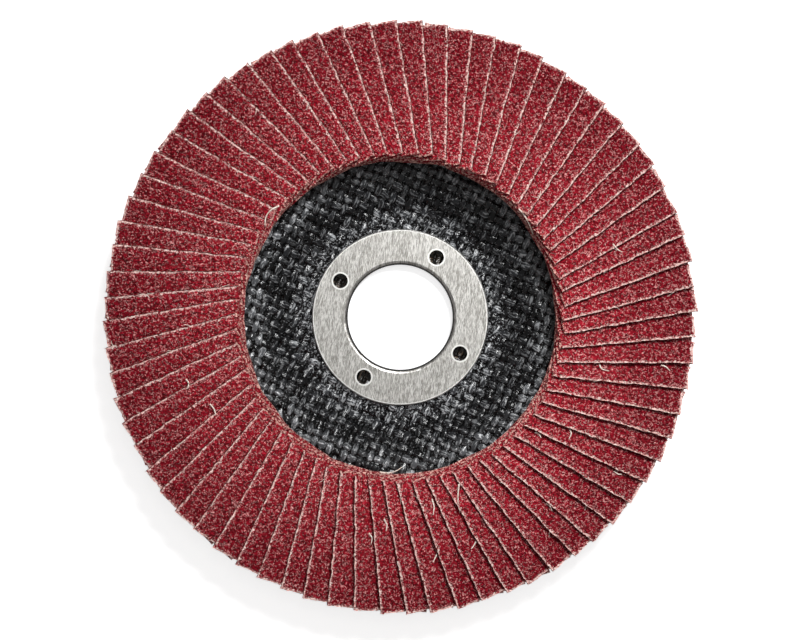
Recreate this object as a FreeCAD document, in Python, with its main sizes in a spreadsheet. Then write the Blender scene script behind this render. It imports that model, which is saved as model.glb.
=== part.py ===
import FreeCAD, Part
import Sketcher
import math
import os

# Flap disc for an angle grinder. The axis of the bore is Z, the abrasive face looks up along +Z,
# and the origin lies on the back of the hub at the centre of the bore. All sizes are in millimetres.

doc = FreeCAD.newDocument("flap_disc")

# Driving dimensions
sheet = doc.addObject("Spreadsheet::Sheet", "dims")
driving = {
    "bore_diameter": 22.23,
    "ring_width": 7.535,
    "ring_sheet": 0.5,
    "ring_bend_radius": 0.35,
    "ring_edge_bevel": 0.2,
    "neck_end_setback": 0.1,
    "claw_count": 4,
    "claw_setback": 3.685,
    "claw_hole_diameter": 3.1,
    "claw_wall": 0.35,
    "claw_depth": 0.9,
    "claw_turn": 58.7,
    "hub_margin": 3.55,
    "dish_width": 8.1,
    "band_width": 21.7,
    "plate_thickness": 2.8,
    "dish_depth": 4.5,
    "dish_bend_radius": 3,
    "plate_rim_round": 0.6,
    "flap_count": 72,
    "first_flap_turn": 0.6,
    "flap_setback": 2.3,
    "flap_width": 21.4,
    "flap_length": 28.3,
    "flap_thickness": 1.05,
    "flap_clearance": 0.05,
    "flap_fan": 0.3,
    "bed_inner_setback": 1.7,
    "bed_rim_setback": 1.5,
    "bed_thickness": 0.3,
    "bed_fill": 0.85,
    "seat_clearance": 0.02,
    "bed_clearance": 0.06,
}
for row, (name, value) in enumerate(driving.items(), start=1):
    sheet.set(f"A{row}", name)
    sheet.set(f"B{row}", str(value))
    sheet.setAlias(f"B{row}", name)
doc.recompute()

# Sizes worked out from the driving ones. The radii run outward from the bore: ring, hub, dish, band.
# Neighbouring flaps lie one pitch apart round the axis, so a flap has to lean by its own thickness over
# that pitch. Near the axis the pitch is short and the lean is steep, at the rim it is long and the lean
# is flat, and so each flap has a twist.
worked = doc.addObject("App::VarSet", "worked")
formulas = {
    "neck_radius": ("App::PropertyFloat", "dims.bore_diameter / 2 + dims.ring_sheet"),
    "ring_radius": ("App::PropertyFloat", "dims.bore_diameter / 2 + dims.ring_width"),
    "claw_circle": ("App::PropertyFloat", "dims.bore_diameter / 2 + dims.claw_setback"),
    "claw_radius": ("App::PropertyFloat", "dims.claw_hole_diameter / 2 + dims.claw_wall"),
    "hub_radius": ("App::PropertyFloat", "worked.ring_radius + dims.hub_margin"),
    "dish_radius": ("App::PropertyFloat", "worked.hub_radius + dims.dish_width"),
    "plate_radius": ("App::PropertyFloat", "worked.dish_radius + dims.band_width"),
    "dish_slope": ("App::PropertyAngle", "atan(dims.dish_depth / dims.dish_width)"),
    "plate_front": ("App::PropertyFloat", "dims.dish_depth + dims.plate_thickness"),
    "bed_top": (
        "App::PropertyFloat",
        "worked.plate_front + dims.seat_clearance + dims.bed_thickness",
    ),
    "flap_pitch": ("App::PropertyAngle", "360deg / dims.flap_count"),
    "flap_inner_distance": ("App::PropertyFloat", "worked.dish_radius + dims.flap_setback"),
    "flap_outer_distance": ("App::PropertyFloat", "worked.flap_inner_distance + dims.flap_length"),
    "inner_lean": (
        "App::PropertyAngle",
        "asin((dims.flap_thickness + dims.flap_clearance)"
        " * dims.flap_count / (2 * pi * worked.flap_inner_distance))",
    ),
    "outer_lean": (
        "App::PropertyAngle",
        "asin((dims.flap_thickness + dims.flap_clearance + dims.flap_fan)"
        " * dims.flap_count / (2 * pi * worked.flap_outer_distance))",
    ),
    "bed_inner_radius": ("App::PropertyFloat", "worked.flap_inner_distance + dims.bed_inner_setback"),
    "bed_outer_radius": ("App::PropertyFloat", "worked.plate_radius - dims.bed_rim_setback"),
}
for name, (kind, formula) in formulas.items():
    worked.addProperty(kind, name)
    worked.setExpression(name, formula)
doc.recompute()


def plane(body, role):
    """One of a body's own origin planes."""
    return next(item for item in body.Origin.OriginFeatures if item.Role == role)


def sketch_on(body, name, role, height=None):
    """A sketch on an origin plane of its body, moved along the plane's normal by a formula."""
    sketch = body.newObject("Sketcher::SketchObject", name)
    sketch.AttachmentSupport = [(plane(body, role), "")]
    sketch.MapMode = "FlatFace"
    if height is not None:
        sketch.setExpression("AttachmentOffset.Base.z", height)
    return sketch


def outline(sketch, corners):
    """A closed outline of straight lines. Each corner is a pair of formulas for its two places."""
    count = len(corners)
    rough = [(math.cos(2 * math.pi * i / count), math.sin(2 * math.pi * i / count)) for i in range(count)]
    for i in range(count):
        start = FreeCAD.Vector(*rough[i], 0)
        end = FreeCAD.Vector(*rough[(i + 1) % count], 0)
        sketch.addGeometry(Part.LineSegment(start, end))
    for i in range(count):
        sketch.addConstraint(Sketcher.Constraint("Coincident", i, 2, (i + 1) % count, 1))
    for i, (across, up) in enumerate(corners):
        for kind, formula in (("DistanceX", across), ("DistanceY", up)):
            number = sketch.addConstraint(Sketcher.Constraint(kind, -1, 1, i, 1, 1.0))
            sketch.setExpression(f"Constraints[{number}]", formula)


def circle(sketch, across, up, radius):
    """A circle whose centre and radius are formulas."""
    sketch.addGeometry(Part.Circle(FreeCAD.Vector(1, 1, 0), FreeCAD.Vector(0, 0, 1), 1))
    for kind, formula in (("DistanceX", across), ("DistanceY", up)):
        number = sketch.addConstraint(Sketcher.Constraint(kind, -1, 1, 0, 3, 1.0))
        sketch.setExpression(f"Constraints[{number}]", formula)
    number = sketch.addConstraint(Sketcher.Constraint("Radius", 0, 1.0))
    sketch.setExpression(f"Constraints[{number}]", radius)


def revolve(body, name, corners):
    """A ring turned about Z from an outline of radius and height."""
    profile = sketch_on(body, name + "_profile", "XZ_Plane")
    outline(profile, corners)
    turned = body.newObject("PartDesign::Revolution", name)
    turned.Profile = profile
    turned.ReferenceAxis = (profile, ["V_Axis"])
    turned.Angle = 360
    profile.Visibility = False
    doc.recompute()
    return turned


def round_edge(body, name, base, radius, height, size, kind="PartDesign::Fillet"):
    """A fillet or chamfer on the full circle of this radius and height."""
    same_place = 1e-4
    found = []
    for number, edge in enumerate(base.Shape.Edges, start=1):
        curve = edge.Curve
        if isinstance(curve, Part.Circle) and abs(curve.Radius - radius) < same_place:
            if abs(curve.Center.z - height) < same_place:
                found.append(f"Edge{number}")
    dressed = body.newObject(kind, name)
    dressed.Base = (base, found)
    dressed.setExpression("Size" if kind.endswith("Chamfer") else "Radius", size)
    doc.recompute()
    return dressed


def around(body, name, features, count):
    """Copies of features round the Z axis."""
    pattern = body.newObject("PartDesign::PolarPattern", name)
    pattern.Originals = features
    pattern.Axis = (plane(body, "Z_Axis"), [""])
    pattern.Angle = 360
    pattern.setExpression("Occurrences", count)
    body.Tip = pattern
    doc.recompute()
    return pattern


# Backing plate: one moulding of glass cloth and resin with a flat hub, a sloping dish and a flat
# outer band that carries the flaps
plate = doc.addObject("PartDesign::Body", "backing_plate")
bend_shift = "dims.plate_thickness * tan(worked.dish_slope / 2)"
plate_turned = revolve(
    plate,
    "plate_section",
    [
        ("worked.neck_radius + dims.seat_clearance", "0"),
        (f"worked.hub_radius + {bend_shift}", "0"),
        (f"worked.dish_radius + {bend_shift}", "dims.dish_depth"),
        ("worked.plate_radius", "dims.dish_depth"),
        ("worked.plate_radius", "worked.plate_front"),
        ("worked.dish_radius", "worked.plate_front"),
        ("worked.hub_radius", "dims.plate_thickness"),
        ("worked.neck_radius + dims.seat_clearance", "dims.plate_thickness"),
    ],
)
back_shift = sheet.plate_thickness * math.tan(math.radians(worked.dish_slope.Value / 2))
outer_bend = "dims.dish_bend_radius + dims.plate_thickness"
bends = [
    ("hub_front_bend", worked.hub_radius, sheet.plate_thickness, "dims.dish_bend_radius"),
    ("hub_back_bend", worked.hub_radius + back_shift, 0, outer_bend),
    ("dish_front_bend", worked.dish_radius, worked.plate_front, outer_bend),
    ("dish_back_bend", worked.dish_radius + back_shift, sheet.dish_depth, "dims.dish_bend_radius"),
    ("rim_front_round", worked.plate_radius, worked.plate_front, "dims.plate_rim_round"),
    ("rim_back_round", worked.plate_radius, sheet.dish_depth, "dims.plate_rim_round"),
    (
        "bore_round",
        worked.neck_radius + sheet.seat_clearance,
        sheet.plate_thickness,
        "dims.ring_bend_radius + dims.seat_clearance",
    ),
]
plate_solid = plate_turned
for name, radius, height, size in bends:
    plate_solid = round_edge(plate, name, plate_solid, radius, height, size)

claw_across = "worked.claw_circle * cos(dims.claw_turn)"
claw_up = "worked.claw_circle * sin(dims.claw_turn)"
claw_seat = sketch_on(plate, "claw_seat_outline", "XY_Plane", "dims.plate_thickness")
circle(claw_seat, claw_across, claw_up, "worked.claw_radius + dims.seat_clearance")
claw_pocket = plate.newObject("PartDesign::Pocket", "claw_seat")
claw_pocket.Profile = claw_seat
claw_pocket.setExpression("Length", "dims.claw_depth + dims.seat_clearance")
doc.recompute()
around(plate, "claw_seats", [claw_pocket], "dims.claw_count")

# Centre ring: one stamping of steel sheet. The flange lies on the hub, its neck lines the bore, and
# four pierced collars bite into the plate.
ring = doc.addObject("PartDesign::Body", "center_ring")
ring_under = "dims.plate_thickness + dims.seat_clearance"
ring_top = ring_under + " + dims.ring_sheet"
ring_solid = revolve(
    ring,
    "ring_section",
    [
        ("dims.bore_diameter / 2", "dims.neck_end_setback"),
        ("worked.neck_radius", "dims.neck_end_setback"),
        ("worked.neck_radius", ring_under),
        ("worked.ring_radius", ring_under),
        ("worked.ring_radius", ring_top),
        ("dims.bore_diameter / 2", ring_top),
    ],
)
ring_under_height = sheet.plate_thickness + sheet.seat_clearance
ring_top_height = ring_under_height + sheet.ring_sheet
ring_solid = round_edge(
    ring, "neck_outside_bend", ring_solid, worked.neck_radius, ring_under_height, "dims.ring_bend_radius"
)
ring_solid = round_edge(
    ring,
    "neck_inside_bend",
    ring_solid,
    sheet.bore_diameter / 2,
    ring_top_height,
    "dims.ring_bend_radius + dims.ring_sheet",
)
ring_solid = round_edge(
    ring,
    "flange_bevel",
    ring_solid,
    worked.ring_radius,
    ring_top_height,
    "dims.ring_edge_bevel",
    "PartDesign::Chamfer",
)
collar_outline = sketch_on(ring, "collar_outline", "XY_Plane", ring_under)
circle(collar_outline, claw_across, claw_up, "worked.claw_radius")
collar = ring.newObject("PartDesign::Pad", "collar")
collar.Profile = collar_outline
collar.Reversed = True
collar.setExpression("Length", "dims.claw_depth")
doc.recompute()
hole_outline = sketch_on(ring, "hole_outline", "XY_Plane", ring_top)
circle(hole_outline, claw_across, claw_up, "dims.claw_hole_diameter / 2")
hole = ring.newObject("PartDesign::Pocket", "pierced_hole")
hole.Profile = hole_outline
hole.Type = "ThroughAll"
doc.recompute()
around(ring, "collars", [collar, hole], "dims.claw_count")

# Abrasive flap: a strip of coated cloth, twisted along its length. Its lower edge lies level on the
# adhesive bed. Both end sections are the strip's own section, leaning by the angle of that place.
flap = doc.addObject("PartDesign::Body", "flap")
flap_seat = "worked.bed_top + dims.seat_clearance"


def flap_end(name, distance, lean):
    """The flap's section at a distance from the axis: across is round the disc, up is Z."""
    width_across = f"dims.flap_width * cos({lean})"
    width_up = f"dims.flap_width * sin({lean})"
    thick_across = f"dims.flap_thickness * sin({lean})"
    thick_up = f"dims.flap_thickness * cos({lean})"
    low_across = f"({width_across} - {thick_across}) / 2"
    section = sketch_on(flap, name, "YZ_Plane", distance)
    outline(
        section,
        [
            (low_across, flap_seat),
            (f"{low_across} + {thick_across}", f"{flap_seat} + {thick_up}"),
            (f"{low_across} + {thick_across} - {width_across}", f"{flap_seat} + {thick_up} + {width_up}"),
            (f"{low_across} - {width_across}", f"{flap_seat} + {width_up}"),
        ],
    )
    return section


inner_end = flap_end("flap_inner_end", "worked.flap_inner_distance", "worked.inner_lean")
outer_end = flap_end("flap_outer_end", "worked.flap_outer_distance", "worked.outer_lean")
strip = flap.newObject("PartDesign::AdditiveLoft", "coated_strip")
strip.Profile = inner_end
strip.Sections = [outer_end]
strip.Ruled = True
doc.recompute()

# Adhesive bed: a ring on the plate with a ridge that fills the wedge under each flap's lower edge
bed = doc.addObject("PartDesign::Body", "adhesive_bed")
bed_bottom = "worked.plate_front + dims.seat_clearance"
revolve(
    bed,
    "bed_section",
    [
        ("worked.bed_inner_radius", bed_bottom),
        ("worked.bed_outer_radius", bed_bottom),
        ("worked.bed_outer_radius", "worked.bed_top"),
        ("worked.bed_inner_radius", "worked.bed_top"),
    ],
)


def ridge_end(name, distance):
    """The wedge between two neighbouring flaps at a distance from the axis."""
    share = f"(({distance}) - worked.flap_inner_distance) / dims.flap_length"
    lean = f"(worked.inner_lean + (worked.outer_lean - worked.inner_lean) * {share})"
    low_edge = f"(dims.flap_width * cos({lean}) - dims.flap_thickness * sin({lean})) / 2"
    last_edge = f"({low_edge} - ({distance}) * sin(worked.flap_pitch)) / cos(worked.flap_pitch)"
    section = sketch_on(bed, name, "YZ_Plane", distance)
    outline(
        section,
        [
            (f"{last_edge} + dims.bed_clearance", "worked.bed_top - dims.bed_thickness / 2"),
            (f"{low_edge} - dims.bed_clearance", "worked.bed_top - dims.bed_thickness / 2"),
            (f"{low_edge} - dims.bed_clearance", "worked.bed_top"),
            (
                f"{last_edge} + dims.bed_clearance + dims.bed_fill * dims.flap_thickness * sin({lean})",
                f"worked.bed_top + dims.bed_fill * dims.flap_thickness * cos({lean})",
            ),
            (f"{last_edge} + dims.bed_clearance", "worked.bed_top"),
        ],
    )
    return section


ridge_inner = ridge_end("ridge_inner_end", "sqrt(worked.bed_inner_radius^2 - (dims.flap_width / 4)^2)")
ridge_outer = ridge_end("ridge_outer_end", "sqrt(worked.bed_outer_radius^2 - (dims.flap_width / 2)^2)")
ridge = bed.newObject("PartDesign::AdditiveLoft", "ridge")
ridge.Profile = ridge_inner
ridge.Sections = [ridge_outer]
ridge.Ruled = True
doc.recompute()
around(bed, "ridges", [ridge], "dims.flap_count")
bed.setExpression("Placement.Rotation.Angle", "dims.first_flap_turn * 1deg")

# The flaps stand round the axis, two neighbours to a node
flaps_per_node = 2
flap_count = int(sheet.flap_count)
node_count = math.ceil(flap_count / flaps_per_node)
pairs = []
for number in range(node_count):
    members = []
    for place in range(flaps_per_node * number, min(flaps_per_node * (number + 1), flap_count)):
        member = doc.addObject("App::Link", f"flap_{place + 1:02d}")
        member.LinkedObject = flap
        turn = f"dims.first_flap_turn * 1deg + {place} * worked.flap_pitch"
        member.setExpression("Placement.Rotation.Angle", turn)
        members.append(member)
    pair = doc.addObject("Part::Compound", f"flap_pair_{number + 1:02d}")
    pair.Links = members
    pairs.append(pair)
doc.recompute()

# Every object has to be sound before anything is written
sub_parts = [plate, ring, bed] + pairs
for item in doc.Objects:
    if "Invalid" in item.State or "Error" in item.State:
        raise RuntimeError(f"{item.Label} failed: {item.State}")
for item in sub_parts:
    if item.Shape.isNull() or not item.Shape.isValid():
        raise RuntimeError(f"{item.Label} has no valid shape")

os.makedirs("parts", exist_ok=True)
for item in sub_parts:
    item.Shape.exportStep(f"parts/{item.Label}.step")
    if not item.Label.startswith("flap_pair"):
        print(item.Label, "volume", round(item.Shape.Volume, 2), "solids", len(item.Shape.Solids))
print("flap volume", round(flap.Shape.Volume, 2), "nodes", len(sub_parts))
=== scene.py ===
# %% [markdown]
# A flap disc is a grinding wheel made of cloth. Strips of abrasive cloth, the flaps, stand round a dished
# plate of glass cloth and resin, each one leaning on the next like roof shingles, and a stamped steel ring
# lines the bore. This lesson takes the solid model of such a disc as a fixed frame and gives every piece
# its finish. Everything is in metres, in the frame's own place, so nothing has to be fitted afterwards.

# %% Load the frame and measure it
import math

import bpy
import numpy as np
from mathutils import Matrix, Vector


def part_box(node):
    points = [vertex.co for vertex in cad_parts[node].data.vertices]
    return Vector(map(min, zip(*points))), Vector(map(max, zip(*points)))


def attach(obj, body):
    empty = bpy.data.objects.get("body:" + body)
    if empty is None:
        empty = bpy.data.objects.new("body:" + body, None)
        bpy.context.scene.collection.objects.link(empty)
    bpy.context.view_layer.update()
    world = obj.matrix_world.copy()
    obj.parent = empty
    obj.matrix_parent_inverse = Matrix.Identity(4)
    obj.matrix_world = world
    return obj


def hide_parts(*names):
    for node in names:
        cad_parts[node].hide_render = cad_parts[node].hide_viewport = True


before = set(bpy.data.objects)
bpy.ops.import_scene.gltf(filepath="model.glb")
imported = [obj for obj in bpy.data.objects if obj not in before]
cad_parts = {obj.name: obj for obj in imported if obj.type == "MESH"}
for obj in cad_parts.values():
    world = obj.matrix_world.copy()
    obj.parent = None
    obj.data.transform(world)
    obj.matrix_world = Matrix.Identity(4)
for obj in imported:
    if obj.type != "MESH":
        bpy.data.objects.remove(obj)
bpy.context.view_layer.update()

mm = 0.001

# %% [markdown]
# The photograph looks straight down on the disc. The camera stands over the bore, far enough away for the
# rim to show hardly any perspective. Two things read from the photo set its place: the pixel at the bore's
# centre, and the number of pixels that one metre takes up at the steel ring. A lens could also be shifted,
# but moving the camera by half a millimetre does the same and keeps the shift at zero for other views.

# %% Camera
photo_width, photo_height = 800, 640
bore_centre_seen = (400.2, 317.2)
ring_pixels_per_metre = 4729
camera_height = 0.68
ring_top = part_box("center_ring")[1].z
sensor_width = 36


def placed(name, data):
    """A new object in the scene."""
    thing = bpy.data.objects.new(name, data)
    bpy.context.scene.collection.objects.link(thing)
    return thing


lens_pixels = ring_pixels_per_metre * (camera_height - ring_top)
camera_data = bpy.data.cameras.new("camera")
camera_data.sensor_width = sensor_width
camera_data.lens = lens_pixels / photo_width * sensor_width
camera_data.clip_start, camera_data.clip_end = 0.01, 10
camera = placed("camera", camera_data)
camera.location = (
    (photo_width / 2 - bore_centre_seen[0]) / ring_pixels_per_metre,
    (bore_centre_seen[1] - photo_height / 2) / ring_pixels_per_metre,
    camera_height,
)
bpy.context.scene.camera = camera
bpy.context.scene.view_settings.view_transform = "Standard"
print("lens", round(camera_data.lens, 1), "mm")
print("camera at", [round(place / mm, 2) for place in camera.location], "mm")

# %% [markdown]
# A finish is a small graph of shader nodes, held by a material or by the world. Written out in full, each
# node takes four or five lines, so a short helper adds a node, sets it and joins its inputs in one call.
# An input that is a socket is joined, and an input that is a plain value is written on the node itself.
# Inside a finish, places are counted in millimetres.


# %% A helper for finishes
class Finish:
    """A graph of shader nodes that is built one call at a time."""

    def __init__(self, owner):
        owner.use_nodes = True
        self.owner = owner
        self.tree = owner.node_tree
        self.tree.nodes.clear()

    def add(self, kind, inputs=None, **settings):
        node = self.tree.nodes.new("ShaderNode" + kind)
        for name, value in settings.items():
            setattr(node, name, value)
        for name, value in (inputs or {}).items():
            if isinstance(value, bpy.types.NodeSocket):
                self.tree.links.new(value, node.inputs[name])
            else:
                node.inputs[name].default_value = value
        return node

    def place_in_mm(self):
        place = self.add("TexCoord").outputs["Object"]
        return self.add("VectorMath", {0: place, "Scale": 1 / mm}, operation="SCALE").outputs[0]

    def stored(self, name, output="Fac"):
        """A number, or with output Vector a vector, that is stored on the mesh."""
        return self.add("Attribute", attribute_name=name).outputs[output]

    def maths(self, operation, first, second=0.0, clamp=False):
        return self.add("Math", {0: first, 1: second}, operation=operation, use_clamp=clamp).outputs[0]

    def vector(self, operation, *inputs):
        return self.add("VectorMath", dict(enumerate(inputs)), operation=operation).outputs[0]

    def opposite(self, share):
        """0 where share is 1, and 1 where it is 0."""
        return self.maths("SUBTRACT", 1.0, share)

    def band(self, value, low, high):
        """0 where value is low or less, 1 where it is high or more, smooth between."""
        inputs = {"Value": value, "From Min": low, "From Max": high}
        return self.add("MapRange", inputs, interpolation_type="SMOOTHSTEP").outputs["Result"]

    def mix(self, share, first, second):
        """A colour that goes from first to second. A mix node keeps its colours in sockets 6 and 7."""
        return self.add("Mix", {0: share, 6: first, 7: second}, data_type="RGBA").outputs[2]

    def blend(self, share, first, second):
        """A number that goes from first to second. A mix node keeps its numbers in sockets 2 and 3."""
        return self.add("Mix", {0: share, 2: first, 3: second}).outputs[0]

    def product(self, first, *others):
        for other in others:
            first = self.maths("MULTIPLY", first, other)
        return first

    def total(self, first, second):
        return self.maths("ADD", first, second)

    def noise(self, place, scale, detail=2.0, roughness=0.5):
        inputs = {"Vector": place, "Scale": scale, "Detail": detail, "Roughness": roughness}
        return self.add("TexNoise", inputs).outputs["Fac"]

    def stretched(self, place, scale, turn=0.0):
        """A place turned about Z, then scaled by a different amount along each side."""
        turned = self.add("VectorRotate", {"Vector": place, "Angle": turn}).outputs[0]
        return self.vector("MULTIPLY", turned, scale)

    def surface(self, shader):
        self.add("OutputMaterial", {"Surface": shader})
        return self.owner

    def rough_surface(self, body, rough, height, depth, strength=1.0, others=None):
        """The finished material, with a bump of a depth in metres."""
        bump = self.add("Bump", {"Strength": strength, "Distance": depth, "Height": height}).outputs[0]
        inputs = {"Base Color": body, "Roughness": rough, "Normal": bump}
        return self.surface(self.add("BsdfPrincipled", inputs | (others or {})).outputs[0])


def new_finish(name):
    return Finish(bpy.data.materials.new(name))


def colour(red, green, blue):
    return (red, green, blue, 1.0)


# %% [markdown]
# The disc lies on a plain white table. The table takes light like white paper, so the disc's soft shadow
# shows on it, and it adds a little glow of its own where the camera or a reflection looks at it, so that
# it reads as clean white without any more light on the disc. The room is a plain tent with white walls: it
# lights the disc gently from everywhere. For a mirror its walls are bright and its open top is dim, so
# that polished places don't turn grey all over. One lamp at about one o'clock throws the flaps' short
# shadows, and a soft box nearly overhead shines in the steel and on the hub.

# %% Table, room and lamp
table_size = 4.0
table_drop = 0.05 * mm
paper_white = colour(0.82, 0.82, 0.82)
tent_light = 0.24
wall_top = (0.1, 0.35)
table_glow = 0.72


def seen_or_mirrored(finish):
    """1 for a ray from the camera, from a mirror or through glass, else 0."""
    path = finish.add("LightPath").outputs
    return finish.maths("MAXIMUM", path["Is Camera Ray"], finish.maths(
        "MAXIMUM", path["Is Glossy Ray"], path["Is Transmission Ray"]))


def make_table():
    half = table_size / 2
    mesh = bpy.data.meshes.new("table")
    corners = [(-half, -half, -table_drop), (half, -half, -table_drop),
               (half, half, -table_drop), (-half, half, -table_drop)]
    mesh.from_pydata(corners, [], [(0, 1, 2, 3)])
    finish = new_finish("table_white")
    paper = finish.add("BsdfDiffuse", {"Color": paper_white}).outputs[0]
    glow_strength = finish.product(seen_or_mirrored(finish), table_glow)
    glow = finish.add("Emission", {"Color": colour(1, 1, 1), "Strength": glow_strength}).outputs[0]
    mesh.materials.append(finish.surface(finish.add("AddShader", {0: paper, 1: glow}).outputs[0]))
    table = placed("table", mesh)


def make_room():
    world = bpy.data.worlds.new("tent")
    bpy.context.scene.world = world
    finish = Finish(world)
    direction = finish.add("TexCoord").outputs["Generated"]
    upward = finish.add("SeparateXYZ", {"Vector": direction}).outputs["Z"]
    wall = finish.opposite(finish.band(upward, *wall_top))
    white_wall = finish.product(wall, seen_or_mirrored(finish))
    strength = finish.blend(white_wall, tent_light, 1.0)
    sky = finish.add("Background", {"Color": colour(1, 1, 1), "Strength": strength}).outputs[0]
    finish.add("OutputWorld", {"Surface": sky})


def make_lamp(name, bearing, elevation, distance, size, power):
    """A square lamp that looks at the bore. Its bearing is counterclockwise from +X."""
    lamp_data = bpy.data.lights.new(name, "AREA")
    lamp_data.shape = "SQUARE"
    lamp_data.size = size
    lamp_data.energy = power
    lamp = placed(name, lamp_data)
    flat = math.cos(math.radians(elevation)) * distance
    lamp.location = (flat * math.cos(math.radians(bearing)), flat * math.sin(math.radians(bearing)),
                     math.sin(math.radians(elevation)) * distance)
    lamp.rotation_euler = (-lamp.location).to_track_quat("-Z", "Y").to_euler()


make_table()
make_room()
make_lamp("key_lamp", bearing=62, elevation=57, distance=0.8, size=0.2, power=5.9)
make_lamp("soft_box", bearing=62, elevation=80, distance=1.1, size=0.22, power=0.58)
print("table, tent and two lamps")

# %% [markdown]
# The flaps come from the frame. Each flap of the solid model is a twisted bar with four corners at its
# inner end and four at its outer end, straight in between. Reading those eight corners from the frame
# keeps the dressed flap exactly where the solid one is, whatever size the solid model has. Seen in the
# flap's own frame, both of its ends are flat and square to its length, so they are the two distances at
# which most of the mesh's points lie.

# %% Find the flaps in the frame
pair_names = sorted(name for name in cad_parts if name.startswith("flap_pair"))
flaps_per_pair = 2
flap_count = flaps_per_pair * len(pair_names)
flap_pitch = 2 * math.pi / flap_count
first_flap_turn = math.radians(0.6)


def turned(points, angle):
    """Points turned about Z, counterclockwise from above."""
    cosine, sine = math.cos(angle), math.sin(angle)
    x, y, z = points[..., 0], points[..., 1], points[..., 2]
    return np.stack([x * cosine - y * sine, x * sine + y * cosine, z], axis=-1)


def flap_ends(pair_name, turn):
    """The corners of a flap's inner and outer end: low and high on the clockwise side, then high and low
    on the counterclockwise side."""
    same_distance = 2e-6
    points = np.array([tuple(v.co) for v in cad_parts[pair_name].data.vertices])
    points = turned(points, -turn)
    distances, counts = np.unique(np.round(points[:, 0], 6), return_counts=True)
    ends = []
    for distance in sorted(distances[np.argsort(counts)[-2:]]):
        end = points[np.abs(points[:, 0] - distance) < same_distance]
        order = [end[:, 1].argmin(), end[:, 2].argmax(), end[:, 1].argmax(), end[:, 2].argmin()]
        ends.append(end[order])
    return np.array(ends)


ends = flap_ends(pair_names[0], first_flap_turn)
flap_length = ends[1, 0, 0] - ends[0, 0, 0]
flap_width = np.linalg.norm(ends[0, 2] - ends[0, 1])
flap_thickness = np.linalg.norm(ends[0, 1] - ends[0, 0])
print("flaps", flap_count, "length, width and thickness in mm",
      [round(float(side) / mm, 2) for side in (flap_length, flap_width, flap_thickness)])

# %% [markdown]
# A flap is cloth with a crust of abrasive grain on its upper face. Only the strip beside its clockwise
# edge shows, because the next flap covers the rest, so the mesh is fine on that strip and coarse
# elsewhere. One closed loop of points round the section is carried along the length in many stations. All
# flaps have the same faces, so the list of faces is made once and each flap only gets its own points.

# %% The loop of points round a flap
shown_strip = 6.2 * mm
grain_step = 0.3 * mm
under_step = 0.6 * mm
station_count = int(round(flap_length / grain_step)) + 1

shown_share = shown_strip / flap_width
top_shown = np.linspace(0, shown_share, int(round(shown_strip / grain_step)) + 1)
top_hidden = np.linspace(shown_share, 1, 6)[1:]
top_across = np.concatenate([top_shown, top_hidden])
under_shown = np.linspace(1, 1 - shown_share, int(round(shown_strip / under_step)) + 1)
under_hidden = np.linspace(1 - shown_share, 0, 5)[1:]
under_across = np.concatenate([under_shown, under_hidden])
low_side_depth = np.array([0.5])
cut_side_depth = np.array([0.75, 0.5, 0.25])

loop_across = np.concatenate([top_across, np.ones(len(low_side_depth)), under_across,
                              np.zeros(len(cut_side_depth))])
loop_depth = np.concatenate([np.zeros(len(top_across)), low_side_depth, np.ones(len(under_across)),
                             cut_side_depth])
loop_count = len(loop_across)
station_along = np.linspace(0, 1, station_count)


def zipper(first, first_across, second, second_across):
    """Triangles between two rows of points that share their first and last places."""
    faces = []
    i = j = 0
    while i < len(first) - 1 or j < len(second) - 1:
        first_next = first_across[i + 1] if i < len(first) - 1 else math.inf
        second_next = second_across[j + 1] if j < len(second) - 1 else math.inf
        if first_next <= second_next:
            faces.append((first[i], first[i + 1], second[j]))
            i += 1
        else:
            faces.append((first[i], second[j + 1], second[j]))
            j += 1
    return faces


def quads_between(rows, row_length, closed=False):
    """Quads between neighbouring rows of points, each row a closed loop. Closed joins the last row to the
    first as well."""
    faces = []
    for row in range(rows if closed else rows - 1):
        here, there = row * row_length, (row + 1) % rows * row_length
        for place in range(row_length):
            following = (place + 1) % row_length
            faces.append((here + place, there + place, there + following, here + following))
    return faces


def flap_faces():
    """Quads along the flap and triangles over its two ends."""
    faces = quads_between(station_count, loop_count)
    top = list(range(len(top_across)))
    rest = list(range(loop_count - 1, len(top_across) - 1, -1))
    low_end = zipper(top, top_across, rest, loop_across[rest])
    last = (station_count - 1) * loop_count
    faces += low_end
    faces += [tuple(last + corner for corner in reversed(face)) for face in low_end]
    return faces


faces = flap_faces()
print("points per flap", station_count * loop_count, "faces", len(faces))

# %% [markdown]
# Grain and wear are small random moves of these points. The crust gets a random height at every point of
# the shown strip, and the points also wander sideways, so the facets look like broken crystals and not
# like a net. Along its cut edge the flap is pressed thinner and its face dips, and the edge itself
# wavers, lifts a little here and there, and frays. Each whole flap sits a little too far out, too far in
# or askew. The random numbers come from one seeded source, so every run gives the same disc.

# %% Shape the flaps
chance = np.random.default_rng(72)
grain_depth = 0.42 * mm
grain_sharpness = 1.3
grain_wander = 0.32
hidden_depth = 0.2 * mm
worn_reach = 0.5 * mm
worn_depth = 0.12 * mm
worn_share = 0.4
edge_thickness = (0.85, 0.74)
edge_dip = 0.26 * mm
edge_dip_reach = 1.8 * mm
edge_waver = 0.1 * mm
waver_knots = 14
waver_reach = 3 * mm
edge_fray = 0.07 * mm
fray_knots = 40
edge_bulge = 0.06 * mm
least_bulge = 0.4
end_fray = 0.2 * mm
lift_height = 0.26 * mm
lift_knots = 9
lift_reach = 2.6 * mm
length_scatter = 0.28 * mm
turn_scatter = math.radians(0.3)
skew_scatter = math.radians(0.175)


def wavering(points_along, knots, size):
    """A smooth random line: random values at a few knots with a curve through them."""
    values = chance.uniform(-1, 1, knots)
    place = points_along * (knots - 1)
    left = np.clip(np.floor(place).astype(int), 0, knots - 2)
    share = place - left
    share = share * share * (3 - 2 * share)
    return size * (values[left] * (1 - share) + values[left + 1] * share)


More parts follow.
